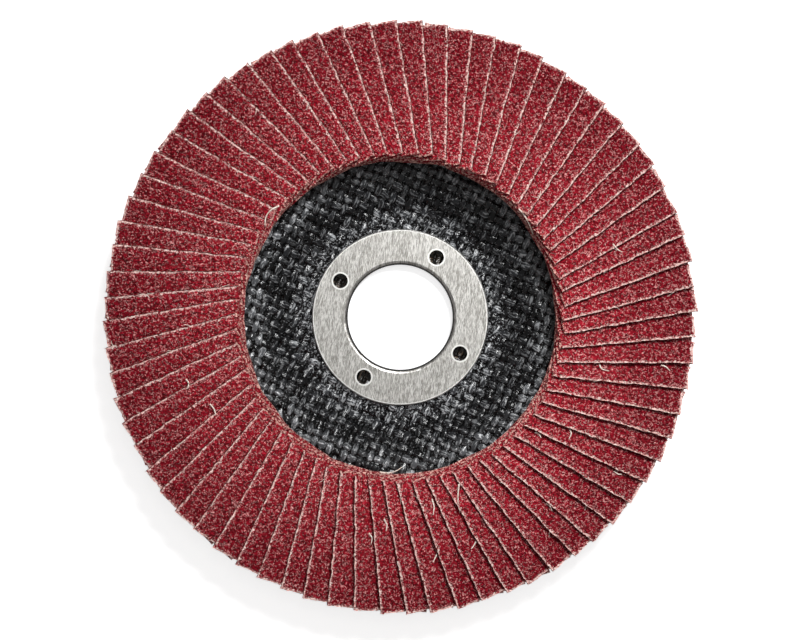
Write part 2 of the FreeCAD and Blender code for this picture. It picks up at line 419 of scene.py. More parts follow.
def unit(vectors):
    return vectors / np.linalg.norm(vectors, axis=-1, keepdims=True)


def flap_points(ends):
    """One flap's points in its own frame, station by station, and how far each lies from the cut edge
    or the rim, and from the inner end."""
    along = station_along[:, None]
    across = loop_across[None, :]
    depth = loop_depth[None, :]
    shape = (station_count, loop_count)
    corner = [ends[0, i] * (1 - along[..., None]) + ends[1, i] * along[..., None] for i in range(4)]
    low_cut, high_cut, high_far, low_far = corner
    across3, depth3 = across[..., None], depth[..., None]
    top = high_cut * (1 - across3) + high_far * across3
    under = low_cut * (1 - across3) + low_far * across3
    resting = np.clip(across3 / shown_share, 0, 1)
    thinned = edge_thickness[0] + (edge_thickness[1] - edge_thickness[0]) * along[..., None]
    cloth_depth = depth3 * (thinned + (1 - thinned) * resting)
    dip = edge_dip * np.clip(1 - across3 * flap_width / edge_dip_reach, 0, 1) ** 2
    cloth_depth = cloth_depth + (1 - depth3) * dip / flap_thickness
    points = top * (1 - cloth_depth) + under * cloth_depth

    thick = unit(high_cut - low_cut)
    wide = unit(high_far - high_cut)
    long = np.array([1.0, 0.0, 0.0])

    on_top = (depth == 0) & np.ones(shape, bool)
    strip = on_top & (across < shown_share)
    from_cut = across * flap_width
    from_inner, from_rim = along * flap_length, (1 - along) * flap_length
    from_edge = np.where(on_top, np.minimum(from_cut, from_rim), 0.0)
    from_inner = np.broadcast_to(from_inner, shape)

    sunk = chance.random(shape) ** grain_sharpness * grain_depth
    sunk = np.where(strip, sunk, 0.0)
    worn = np.clip(1 - from_edge / worn_reach, 0, 1)
    sunk = sunk * (1 - worn_share * worn) + worn_depth * worn * strip
    sunk = np.where(on_top & ~strip, hidden_depth, sunk)
    lift_line = np.clip(wavering(station_along, lift_knots, 1.0), 0, 1)[:, None]
    lift = lift_height * lift_line * np.clip(1 - from_cut / lift_reach, 0, 1) ** 2
    points = points + thick * (lift - sunk)[..., None]

    inside = strip & (across > 0) & (along > 0) & (along < 1)
    wander_along = np.where(inside, chance.uniform(-1, 1, shape) * grain_wander * grain_step, 0)
    wander_across = np.where(inside, chance.uniform(-1, 1, shape) * grain_wander * grain_step, 0)
    cut_side = np.broadcast_to(across == 0, shape)
    waver = wavering(station_along, waver_knots, edge_waver) + wavering(station_along, fray_knots, edge_fray)
    waver = waver[:, None]
    fray = chance.uniform(-1, 1, shape) * edge_fray
    bulge = edge_bulge * depth * (least_bulge + chance.random(shape))
    wander_across = wander_across + np.where(cut_side, waver + fray - bulge, 0)
    waver_fade = np.clip(1 - from_cut / waver_reach, 0, 1)
    wander_across = wander_across + np.where(on_top & ~cut_side, waver * waver_fade, 0)
    at_end = np.broadcast_to((along == 0) | (along == 1), shape)
    wander_along = wander_along + np.where(at_end, chance.uniform(-1, 1, shape) * end_fray, 0)
    points = points + wide * wander_across[..., None] + long * wander_along[..., None]
    return points, from_edge, from_inner


def place_flap(points, number):
    """Slides, skews and turns a flap to its place round the disc."""
    centre = points.reshape(-1, 3).mean(0)
    points = points - centre
    points = turned(points, chance.normal() * skew_scatter)
    points = points + centre + np.array([chance.uniform(-1, 1) * length_scatter, 0, 0])
    turn = first_flap_turn + number * flap_pitch + chance.uniform(-1, 1) * turn_scatter
    return turned(points, turn)


def set_numbers(mesh, name, kind, values):
    """Stores one number or one vector for every point of a mesh."""
    attribute = mesh.attributes.new(name, kind, "POINT")
    attribute.data.foreach_set("vector" if kind == "FLOAT_VECTOR" else "value",
                               np.asarray(values, np.float32).ravel())


layer_gap = 37.0


def flap_cloth_places(number):
    """A flat map of the flap in millimetres: along it, round its section, and a layer for its number."""
    loop_width = np.where(loop_depth == 0, loop_across * flap_width, -loop_depth * flap_thickness)
    loop_width = np.where(loop_depth == 1, -flap_thickness - loop_across * flap_width, loop_width)
    place = np.zeros((station_count, loop_count, 3))
    place[..., 0] = station_along[:, None] * flap_length / mm
    place[..., 1] = loop_width[None, :] / mm
    place[..., 2] = layer_gap * (number + 1)
    return place


flap_mesh = bpy.data.meshes.new("abrasive_flap")
flap_mesh.from_pydata([(0, 0, 0)] * (station_count * loop_count), [], faces)
flaps = []
for number in range(flap_count):
    points, from_edge, from_inner = flap_points(ends)
    points = place_flap(points, number)
    mesh = flap_mesh.copy()
    mesh.name = f"abrasive_flap_{number + 1:02d}"
    mesh.vertices.foreach_set("co", points.astype(np.float32).ravel())
    depth = np.broadcast_to(loop_depth, (station_count, loop_count))
    set_numbers(mesh, "depth", "FLOAT", depth)
    set_numbers(mesh, "from_edge", "FLOAT", from_edge / mm)
    set_numbers(mesh, "from_inner", "FLOAT", from_inner / mm)
    set_numbers(mesh, "tint", "FLOAT", np.full(depth.shape, chance.random()))
    set_numbers(mesh, "cloth_place", "FLOAT_VECTOR", flap_cloth_places(number))
    mesh.update()
    flap = placed(mesh.name, mesh)
    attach(flap, "root")
    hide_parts(pair_names[number // flaps_per_pair])
    flaps.append(flap)
bpy.data.meshes.remove(flap_mesh)
print("flaps made", len(flaps))

# %% [markdown]
# The crust is a layer of crushed grain bound in dark red resin. Close up it is a field of small crystals,
# with dark red patches and thin broken glints; the glints are painted highlights, pale pink in the colour.
# A cell texture gives the crystals, and the glints are the thin lines along which a noise passes one value.
# Where the cloth is cut, its pale threads show, with painted shade on the cut side below them, and the
# underside is plain cloth. One graph holds all three, and the depth and the distances from the edges,
# stored on the mesh, say which one shows.


# %% Finish of the flaps
resin_red = (colour(0.33, 0.0012, 0.014), colour(0.50, 0.0035, 0.028))
dark_red_patch = colour(0.075, 0.0003, 0.004)
painted_glint_pink = colour(1.0, 0.50, 0.48)
rim_tone, hub_sheen_tone = colour(0.13, 0.0005, 0.005), colour(0.62, 0.05, 0.06)
dust = colour(0.45, 0.12, 0.12)
cut_thread = (colour(0.74, 0.35, 0.32), colour(1.0, 0.82, 0.76))
bare_cloth = (colour(0.30, 0.13, 0.09), colour(0.62, 0.38, 0.27))
cut_rim = (colour(0.45, 0.022, 0.025), colour(1.0, 0.60, 0.50))
shaded_side = colour(0.080, 0.010, 0.011)
burnt_end = (colour(0.24, 0.012, 0.018), colour(1.0, 0.62, 0.53))
crystals_per_mm = 1.7
layer_spread = 400.0
half_length = flap_length / mm / 2


def make_flap_finish():
    finish = new_finish("abrasive_cloth")
    cloth = finish.stored("cloth_place", "Vector")
    depth = finish.stored("depth")
    from_edge = finish.stored("from_edge")
    from_inner = finish.stored("from_inner")
    own_layer = finish.product(finish.stored("tint"), layer_spread)
    own_layer = finish.add("CombineXYZ", {"Z": own_layer}).outputs[0]
    place = finish.vector("ADD", finish.place_in_mm(), own_layer)

    bent = finish.add("TexNoise", {"Vector": place, "Scale": 1.1, "Detail": 1.0}).outputs["Color"]
    bent = finish.vector("SUBTRACT", bent, (0.5, 0.5, 0.5))
    grain_place = finish.vector("ADD", place, finish.vector("MULTIPLY", bent, (0.8, 0.8, 0.8)))
    cells = {"Vector": grain_place, "Scale": crystals_per_mm, "Randomness": 1.0}
    crystal = finish.add("TexVoronoi", cells).outputs["Color"]
    crystal_edge = finish.add("TexVoronoi", cells, feature="DISTANCE_TO_EDGE").outputs["Distance"]
    crystal_kind = finish.add("SeparateColor", {"Color": crystal}).outputs[0]

    body = finish.mix(crystal_kind, *resin_red)
    pit = finish.band(finish.noise(grain_place, 1.7), 0.52, 0.58)
    body = finish.mix(pit, body, dark_red_patch)

    worm = finish.noise(grain_place, 1.75)
    worm = finish.maths("ABSOLUTE", finish.maths("SUBTRACT", worm, 0.48))
    worm = finish.opposite(finish.band(worm, 0.017, 0.050))
    sparse = finish.band(finish.noise(place, 1.6, 1.0), 0.46, 0.52)
    toward_rim = finish.band(from_inner, 0.0, 2 * half_length)
    glint = finish.product(worm, sparse, finish.blend(toward_rim, 1.0, 0.68))
    # Toward the rim the red is darker; toward the hub it is paler, a painted broad sheen.
    body = finish.mix(finish.product(toward_rim, 0.55), body, rim_tone)
    body = finish.mix(finish.product(finish.opposite(toward_rim), 0.17), body, hub_sheen_tone)
    # The glints are painted highlights: pale pink mixed into the colour.
    body = finish.mix(glint, body, painted_glint_pink)
    cloudy = finish.noise(place, 0.12)
    body = finish.mix(finish.product(cloudy, 0.08), body, dust)

    thread = finish.noise(finish.stretched(place, (3.0, 6.0, 1.0)), 1.0)
    cream = finish.mix(finish.band(thread, 0.35, 0.65), *cut_thread)
    ridges = []
    for side, ridges_per_mm in (("X", 0.62), ("Y", 0.5)):
        inputs = {"Vector": cloth, "Scale": ridges_per_mm, "Distortion": 1.2, "Detail": 1.0,
                  "Detail Scale": 1.5}
        ridges.append(finish.add("TexWave", inputs, bands_direction=side).outputs["Fac"])
    cloth_weave = finish.product(*ridges)
    under = finish.mix(cloth_weave, *bare_cloth)

    ragged = finish.maths("SUBTRACT", finish.noise(place, 1.6, 3.0, 0.65), 0.5)
    edge = finish.total(from_edge, finish.product(ragged, 2.3))
    cut = finish.opposite(finish.band(edge, 0.14, 0.34))
    side_depth = finish.total(depth, finish.product(ragged, 0.8))
    from_middle = finish.maths("ABSOLUTE", finish.maths("SUBTRACT", from_inner, half_length))
    at_end = finish.band(from_middle, half_length - 0.15, half_length)
    end_speck = finish.band(finish.noise(place, 2.2), 0.5, 0.57)
    # Below the pale top edge the cut side is painted in shade, except at the flap's ends.
    shaded = finish.mix(at_end, shaded_side, finish.mix(end_speck, *cut_rim))
    cream = finish.mix(finish.band(side_depth, 0.12, 0.34), cream, shaded)
    body = finish.mix(cut, body, cream)
    inner = finish.total(from_inner, finish.product(ragged, 1.2))
    inner = finish.opposite(finish.band(inner, 0.05, 0.35))
    burnt = finish.mix(finish.band(finish.noise(place, 1.9), 0.49, 0.54), *burnt_end)
    body = finish.mix(finish.product(inner, 0.85), body, burnt)
    under_share = finish.band(depth, 0.93, 1.0)
    body = finish.mix(under_share, body, under)

    rough = finish.blend(cut, 0.45, 0.85)
    rough = finish.blend(under_share, rough, 0.9)
    height = finish.product(finish.band(crystal_edge, 0.0, 0.22), 0.7)
    height = finish.total(height, finish.product(finish.noise(place, 4.5, 3.0), 0.5))
    height = finish.blend(cut, height, thread)
    height = finish.blend(under_share, height, cloth_weave)
    return finish.rough_surface(body, rough, height, 0.23 * mm, others={"Specular IOR Level": 0.1})


flap_finish = make_flap_finish()
for flap in flaps:
    flap.data.materials.append(flap_finish)
print("flap finish", flap_finish.name)

# %% [markdown]
# Where the cloth was cut, single threads have come loose and lie on the flaps. The larger ones are where
# the photograph shows them: each is named after its place on a clock face, and a ray from the camera
# through its pixels finds the cloth that it lies on. Many short ones follow, at random along the cut
# edges, away from the flaps' ends. Each is a thin tube that tapers toward its free end and rests on the
# cloth, never in it. Curves with a round bevel would do as well, but one mesh holds all the threads and
# stays light.

# %% Loose threads
thread_sides = 6
thread_radius = 0.19 * mm
thread_taper = 0.55
well_above = 100 * mm
thread_pixels = {
    "nine_outer": ((186, 379), (189, 384), (187, 389)),
    "eight_middle": ((210, 404), (214, 409), (216, 415)),
    "six_inner": ((432, 499), (434, 507), (433, 515)),
    "half_past_five_inner": ((459, 484), (458, 494), (458, 504)),
    "half_past_five_middle": ((476, 541), (474, 545), (471, 549)),
    "six_outer": ((437, 554), (435, 558), (433, 562)),
    "half_past_six_middle": ((384, 519), (387, 525), (386, 531)),
    "seven_middle": ((369, 533), (372, 538), (371, 544)),
    "five_outer": ((546, 503), (550, 506), (552, 511)),
    "four_inner": ((570, 429), (571, 434), (569, 439)),
    "three_inner": ((599, 364), (602, 369), (609, 371)),
    "three_outer": ((661, 365), (666, 367), (670, 371)),
    "four_outer": ((614, 471), (618, 474), (622, 474)),
    "half_past_four_inner": ((535, 432), (539, 434), (541, 438)),
    "one_inner": ((519, 209), (524, 215), (529, 224), (533, 234)),
    "two_inner": ((613, 244), (617, 249), (622, 252)),
    "ten_inner": ((279, 206), (271, 210), (266, 217), (265, 226)),
    "six_boundary": ((380, 471), (388, 473), (396, 471), (402, 467)),
}
bpy.context.view_layer.update()
surfaces = bpy.context.evaluated_depsgraph_get()


def met_by_ray(start, direction):
    """The first place on the disc along a ray."""
    return bpy.context.scene.ray_cast(surfaces, start, direction)[1]


def cloth_seen_at(pixel):
    """The place on the disc that the camera sees at a pixel of the photograph."""
    across = (pixel[0] - photo_width / 2) / lens_pixels
    up = (photo_height / 2 - pixel[1]) / lens_pixels
    return met_by_ray(camera.location, Vector((across, up, -1)).normalized())


def cloth_below(x, y):
    """The place on the disc straight below a point."""
    return met_by_ray(Vector((x, y, well_above)), Vector((0, 0, -1)))


def curved(places, steps=5):
    """More points along a smooth line through the places."""
    ends = [places[0] * 2 - places[1]] + list(places) + [places[-1] * 2 - places[-2]]
    line = []
    for before, start, end, after in zip(ends, ends[1:], ends[2:], ends[3:]):
        for step in range(steps):
            t = step / steps
            line.append(0.5 * ((2 * start) + (end - before) * t
                               + (2 * before - 5 * start + 4 * end - after) * t ** 2
                               + (3 * start - before - 3 * end + after) * t ** 3))
    return line + [places[-1]]


def thread_tube(places, radius):
    """Points and faces of a tapering tube along a line of places."""
    line = curved([place + Vector((0, 0, radius)) for place in places])
    for place in line:
        place.z = max(place.z, cloth_below(place.x, place.y).z + radius)
    points, tube_faces = [], []
    for i, place in enumerate(line):
        ahead = (line[min(i + 1, len(line) - 1)] - line[max(i - 1, 0)]).normalized()
        side = ahead.cross(Vector((0, 0, 1))).normalized()
        upward = side.cross(ahead)
        own_radius = radius * (1 - thread_taper * i / (len(line) - 1))
        for corner in range(thread_sides):
            angle = 2 * math.pi * corner / thread_sides
            points.append(place + (side * math.cos(angle) + upward * math.sin(angle)) * own_radius)
    for i in range(len(line) - 1):
        for corner in range(thread_sides):
            following = (corner + 1) % thread_sides
            here, there = i * thread_sides, (i + 1) * thread_sides
            tube_faces.append((here + corner, here + following, there + following, there + corner))
    last = (len(line) - 1) * thread_sides
    tube_faces.append(tuple(reversed(range(thread_sides))))
    tube_faces.append(tuple(range(last, last + thread_sides)))
    return points, tube_faces


short_thread_count = 90
short_thread_length = (0.7, 1.7)
short_thread_radius = (0.06, 0.1)
free_stations = (8, 4)
short_thread_turn = 0.7
short_thread_bow = 0.5


def short_thread_places():
    """A short thread that starts at a random place on a random cut edge."""
    number = int(chance.integers(flap_count))
    station = int(chance.integers(free_stations[0], station_count - free_stations[1]))
    start = flaps[number].data.vertices[station * loop_count].co
    outward = math.atan2(start.y, start.x) + chance.choice([0, math.pi])
    outward += chance.uniform(-1, 1) * short_thread_turn
    length = chance.uniform(*short_thread_length) * mm
    bow = chance.uniform(-1, 1) * short_thread_bow
    ends = [start.copy()]
    for share in (0.5, 1.0):
        heading = outward + bow * share
        ends.append(cloth_below(start.x + math.cos(heading) * length * share,
                                start.y + math.sin(heading) * length * share))
    return ends


thread_points, thread_faces = [], []
lines = [([cloth_seen_at(pixel) for pixel in pixels], thread_radius) for pixels in thread_pixels.values()]
lines += [(short_thread_places(), chance.uniform(*short_thread_radius) * mm)
          for _ in range(short_thread_count)]
for places, radius in lines:
    tube_points, tube_faces = thread_tube(places, radius)
    thread_faces += [tuple(len(thread_points) + corner for corner in face) for face in tube_faces]
    thread_points += tube_points
thread_mesh = bpy.data.meshes.new("loose_threads")
thread_mesh.from_pydata(thread_points, [], thread_faces)
thread_mesh.shade_smooth()
threads = placed(thread_mesh.name, thread_mesh)
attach(threads, "root")
print("threads", len(lines), "faces", len(thread_faces))

# %% [markdown]
# The threads are raw cotton, much paler than the resin round them. They are too thin to show a twist, so
# a fine noise changes their colour a little and gives them a soft, dull face.

# %% Finish of the threads
raw_cotton = (colour(0.80, 0.62, 0.52), colour(1.0, 0.92, 0.84))


def make_thread_finish():
    finish = new_finish("cotton_thread")
    fibre = finish.noise(finish.place_in_mm(), 3.0, 3.0, 0.6)
    body = finish.mix(finish.band(fibre, 0.4, 0.6), *raw_cotton)
    return finish.rough_surface(body, 0.9, fibre, 0.08 * mm, 0.6, {"Specular IOR Level": 0.15})


thread_mesh.materials.append(make_thread_finish())
print("thread finish done")

# %% [markdown]
# The backing plate is glass cloth pressed in black resin, and the weave of the coarse yarns stands out on
# both faces. The plate is turned from its section, as on a lathe, but with so many points that the weave
# can be pressed into it: two families of yarns that pass over and under each other, each yarn a low
# crown, with the resin lying level in the gaps. Bump alone would look flat from the side.

# %% The plate's section
plate_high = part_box("backing_plate")[1]
plate_radius = plate_high.x
plate_thickness = 2.8 * mm
dish_depth = plate_high.z - plate_thickness
bore_radius = 11.635 * mm
hub_radius = 22.2 * mm
dish_radius = 30.3 * mm
dish_bend = 3.0 * mm
rim_round = 0.6 * mm
bore_bevel = 0.37 * mm
hidden_from = 34.6 * mm
ring_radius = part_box("center_ring")[1].x
under_ring_by = 1.2 * mm
seen_through_holes = (12.6 * mm, 16.9 * mm)
dish_slope = math.atan2(dish_depth, dish_radius - hub_radius)
back_shift = plate_thickness * math.tan(dish_slope / 2)
fine_step = 0.27 * mm
back_step = 0.75 * mm
hidden_step = 1.6 * mm
step_margin = 0.1 * mm
turn_count = 552


def rounded(corners, radii, steps=6):
    """The outline through the corners, each one rounded by an arc of its radius."""
    outline = []
    for i, corner in enumerate(corners):
        radius = radii[i]
        if radius == 0:
            outline.append(corner)
            continue
        before = (corners[i - 1] - corner).normalized()
        after = (corners[i + 1] - corner).normalized()
        half_angle = before.angle(after) / 2
        middle = corner + (before + after).normalized() * (radius / math.sin(half_angle))
        start = corner + before * (radius / math.tan(half_angle)) - middle
        end = corner + after * (radius / math.tan(half_angle)) - middle
        for step in range(steps + 1):
            share = step / steps
            arm = start.lerp(end, share)
            outline.append(middle + arm.normalized() * radius)
    return outline


def resampled(outline, step_at):
    """Points along an outline whose spacing follows step_at, which takes a point."""
    points = [outline[0]]
    for start, end in zip(outline[:-1], outline[1:]):
        length = (end - start).length
        count = max(1, math.ceil(length / step_at((start + end) / 2)))
        points += [start.lerp(end, i / count) for i in range(1, count + 1)]
    return points


front_z, band_z = plate_thickness, plate_high.z
front_corners = [Vector(place) for place in (
    (bore_radius, front_z - rim_round), (bore_radius + bore_bevel, front_z),
    (ring_radius - under_ring_by, front_z), (hub_radius, front_z), (dish_radius, band_z),
    (hidden_from, band_z), (plate_radius, band_z))]
front_radii = [0, 0, 0, dish_bend, dish_bend + plate_thickness, 0, 0]
back_corners = [Vector(place) for place in (
    (plate_radius, dish_depth), (dish_radius + back_shift, dish_depth), (hub_radius + back_shift, 0.0),
    (bore_radius, 0.0))]
back_radii = [0, dish_bend, dish_bend + plate_thickness, 0]


def front_step(point):
    shown = ring_radius - under_ring_by - step_margin < point.x < hidden_from + step_margin
    under_ring = seen_through_holes[0] < point.x < seen_through_holes[1]
    return fine_step if shown or under_ring else hidden_step


def rim_bend(corner_z, side, degrees):
    """Points on the small bend between the rim and the front, side 1, or the back, side -1."""
    bend = []
    for angle in map(math.radians, degrees):
        inward, along = rim_round * (1 - math.cos(angle)), rim_round * (1 - math.sin(angle))
        bend.append(Vector((plate_radius - inward, corner_z - side * along)))
    return bend


front = resampled(rounded(front_corners[:-1], front_radii[:-1]), front_step)
front += resampled([front_corners[-2], front_corners[-1] - Vector((rim_round, 0))], front_step)[1:]
rim = rim_bend(band_z, 1, (60, 30, 0))
rim += [Vector((plate_radius, z)) for z in np.linspace(band_z - rim_round, dish_depth + rim_round, 6)[1:]]
rim += rim_bend(dish_depth, -1, (30, 60))
back = resampled(rounded([back_corners[0] - Vector((rim_round, 0))] + back_corners[1:], back_radii),
                 lambda point: back_step)
bore = [Vector((bore_radius, z)) for z in np.linspace(0, front_z - rim_round, 4)[1:-1]]
section = front + rim + back + bore
print("plate section points", len(section), "faces", len(section) * turn_count)

# %% [markdown]
# The weave is worked out at each point. Along one family of yarns and across it, the place is counted in
# yarns. Whether a yarn lies over or under changes from crossing to crossing like a chessboard, and the
# higher of the two yarns is what shows. Real cloth isn't perfect, so the yarns wander, and each crossing
# is tilted a little its own way, which makes some of them catch the light.

# %% Press the weave into the plate
front_weave_turn = math.radians(-23.5)
back_weave_turn = math.radians(14)
yarn_pitch = np.array([1.75, 2.15]) * mm
weave_depth = 0.42 * mm
resin_level = 0.12
yarn_fill = 0.84
crown_power = 2.2
crown_share, rise_share = 0.5, 0.25
tilt_share, lift_share = 0.10, 0.08
yarn_wander = 0.4 * mm
wander_size = 7 * mm
row_pairing = 0.09
layer_height = 0.9 * mm
back_layer, rim_layer = 100.0, 200.0
table_side = 64
tilt_table = np.random.default_rng(17).uniform(-1, 1, (table_side, table_side, 3))
noise_origin = (31.3, 17.7)


def soft_noise(x, y, size, seed):
    """A smooth random field between -1 and 1 that changes over the given size."""
    table = np.random.default_rng(seed).uniform(-1, 1, (table_side, table_side))
    u, v = x / size + noise_origin[0], y / size + noise_origin[1]
    i, j = np.floor(u).astype(int), np.floor(v).astype(int)
    a, b = u - i, v - j
    a, b = a * a * (3 - 2 * a), b * b * (3 - 2 * b)
    i, j = i % (table_side - 1), j % (table_side - 1)
    near = table[i, j] * (1 - a) + table[i + 1, j] * a
    far = table[i, j + 1] * (1 - a) + table[i + 1, j + 1] * a
    return near * (1 - b) + far * b


def yarn_places(x, y, turn):
    """Places on the cloth counted in yarns, along and across the rows, which wander and lie in pairs."""
    x = x + soft_noise(x, y, wander_size, 1) * yarn_wander
    y = y + soft_noise(x, y, wander_size, 2) * yarn_wander
    u = (x * math.cos(turn) + y * math.sin(turn)) / yarn_pitch[0]
    v = (-x * math.sin(turn) + y * math.cos(turn)) / yarn_pitch[1]
    return u, v + row_pairing * np.sin(math.pi * v)


def weave(u, v):
    """The height of the cloth, 0 to 1."""
    column, row = np.floor(u).astype(int), np.floor(v).astype(int)
    across_u, across_v = 2 * (u - column) - 1, 2 * (v - row) - 1
    crown_u = np.sqrt(np.clip(1 - np.abs(across_u / yarn_fill) ** crown_power, 0, 1))
    crown_v = np.sqrt(np.clip(1 - np.abs(across_v / yarn_fill) ** crown_power, 0, 1))
    swap = np.where((row + column) % 2 == 0, 1.0, -1.0)
    yarn_v = crown_share * crown_v + rise_share * swap * np.cos(across_u * math.pi / 2)
    yarn_u = crown_share * crown_u - rise_share * swap * np.cos(across_v * math.pi / 2)
    height = np.maximum(yarn_v, yarn_u) + rise_share
    tilt = tilt_table[row % table_side, column % table_side]
    height = height + tilt_share * (tilt[..., 0] * across_u + tilt[..., 1] * across_v)
    height = height + lift_share * tilt[..., 2]
    return np.clip(np.maximum(height, resin_level), 0, 1)


def plate_points():
    """The plate's points, ring by ring, with the weave pressed in along each face's own slope."""
    angles = np.linspace(0, 2 * math.pi, turn_count, endpoint=False)
    outline = np.array([tuple(point) for point in section])
    radius, z = outline[:, 0][:, None], outline[:, 1][:, None]
    x, y = radius * np.cos(angles), radius * np.sin(angles)
    number = np.arange(len(section))[:, None]
    is_front = number < len(front)
    is_back = (number >= len(front) + len(rim)) & (number < len(front) + len(rim) + len(back))
    front_u, front_v = yarn_places(x, y, front_weave_turn)
    back_u, back_v = yarn_places(x, y, back_weave_turn)
    front_height, back_height = weave(front_u, front_v), weave(back_u, back_v)
    sink = np.where(is_front, (1 - front_height), np.where(is_back, (1 - back_height), 0)) * weave_depth
    is_rim = ~is_front & ~is_back & (radius > ring_radius)
    rim_u, rim_v = angles * radius / yarn_pitch[0], z / layer_height + 0 * x
    yarn_place = np.stack([np.select([is_back, is_rim], [back_u, rim_u], front_u),
                           np.select([is_back, is_rim], [back_v, rim_v], front_v),
                           np.select([is_back, is_rim], [back_layer, rim_layer], 0.0) + 0 * x], axis=-1)
    tangent = unit(np.gradient(outline, axis=0))
    inward_radius, inward_z = tangent[:, 1][:, None], -tangent[:, 0][:, None]
    new_radius = radius + inward_radius * sink
    new_z = z + inward_z * sink
    ring_holes = claw_depth_at(x, y) * is_front
    points = np.stack([new_radius * np.cos(angles), new_radius * np.sin(angles),
                       new_z - ring_holes + 0 * x], axis=-1)
    return points, yarn_place


claw_circle = 14.8 * mm
claw_seat_radius = 1.92 * mm
claw_seat_depth = 0.92 * mm
first_claw_turn = math.radians(58.7)
claw_turns = [first_claw_turn + i * math.pi / 2 for i in range(4)]


def claw_depth_at(x, y):
    """How deep the ring's collars bite into the plate at a place."""
    depth = np.zeros_like(x)
    for claw_turn in claw_turns:
        far = np.hypot(x - claw_circle * math.cos(claw_turn), y - claw_circle * math.sin(claw_turn))
        depth = np.where(far < claw_seat_radius, claw_seat_depth, depth)
    return depth


def make_plate():
    points, yarn_place = plate_points()
    mesh = bpy.data.meshes.new("woven_backing_plate")
    faces = quads_between(len(section), turn_count, closed=True)
    mesh.from_pydata(points.reshape(-1, 3).tolist(), [], faces)
    mesh.shade_smooth()
    set_numbers(mesh, "yarn_place", "FLOAT_VECTOR", yarn_place)
    plate = placed(mesh.name, mesh)
    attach(plate, "root")
    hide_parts("backing_plate")
    return plate


plate = make_plate()
print("plate faces", len(plate.data.polygons))

# %% [markdown]
# Black resin over glass is shiny, but not like glass: every yarn is a bundle of hairs, and the resin has
# shrunk between them. The mesh carries the place counted in yarns, so the graph works out the same weave
# again, but sharply: how high each yarn stands at a place, which family lies on top, and the fine hairs
# that run along it. Gaps stay black. Crowns turn grey, partly the glass under the resin and partly a
# painted sheen, brighter on some crossings than on others, with painted glints along broken hairs and
# as pale specks, more of them round the ring. On the slope of the dish the colour is painted in shade,
# on the lip beyond it the crowns are painted lighter, and under the ring it is painted in shade, nearly
# black with brownish streaks. On the rim the same graph shows the pressed layers, because the mesh counts
# those there. The named bands are distances from the axis in millimetres, where a change starts and where
# it is complete.


# %% Finish of the plate
black_resin_and_slope_shade = colour(0.0005, 0.0005, 0.0007)
crown_grey_and_sheen, lip_painted_light_grey = colour(0.040, 0.042, 0.047), colour(0.120, 0.125, 0.133)
painted_glint_grey = colour(0.46, 0.475, 0.49)
painted_shade_under_ring = (colour(0.004, 0.003, 0.002), colour(0.09, 0.065, 0.045))
specks_end = (20.5, 23.0)
slope_start, slope_end = (21.5, 24.5), (27.5, 30.5)
lip_start = (28.0, 30.5)
ring_shadow = 0.3


def from_axis(finish, place):
    """How far a place lies from the Z axis."""
    flat = finish.vector("MULTIPLY", place, (1, 1, 0))
    return finish.add("VectorMath", {0: flat}, operation="LENGTH").outputs["Value"]


def yarn_heights(finish, place):
    """Sockets for the heights of the two yarn families and for the crossing's own whole numbers."""
    whole = finish.vector("FLOOR", place)
    share = finish.add("SeparateXYZ", {"Vector": finish.vector("FRACTION", place)}).outputs
    crossing = finish.add("SeparateXYZ", {"Vector": whole}).outputs
    crowns, bends = [], []
    for axis in (0, 1):
        across = finish.add("Math", {0: share[axis], 1: 2.0, 2: -1.0}, operation="MULTIPLY_ADD").outputs[0]
        far = finish.maths("ABSOLUTE", finish.maths("DIVIDE", across, yarn_fill))
        crown = finish.maths("SUBTRACT", 1.0, finish.maths("POWER", far, crown_power), clamp=True)
        crowns.append(finish.maths("SQRT", crown))
        bends.append(finish.maths("COSINE", finish.product(across, math.pi / 2)))
    even = finish.maths("FLOORED_MODULO", finish.total(crossing[0], crossing[1]), 2.0)
    swap = finish.opposite(finish.product(even, 2.0))
    rise_v = finish.product(swap, bends[0], rise_share)
    rise_u = finish.product(swap, bends[1], -rise_share)
    height_v = finish.total(finish.product(crowns[1], crown_share), rise_v)
    height_u = finish.total(finish.product(crowns[0], crown_share), rise_u)
    return height_u, height_v, whole


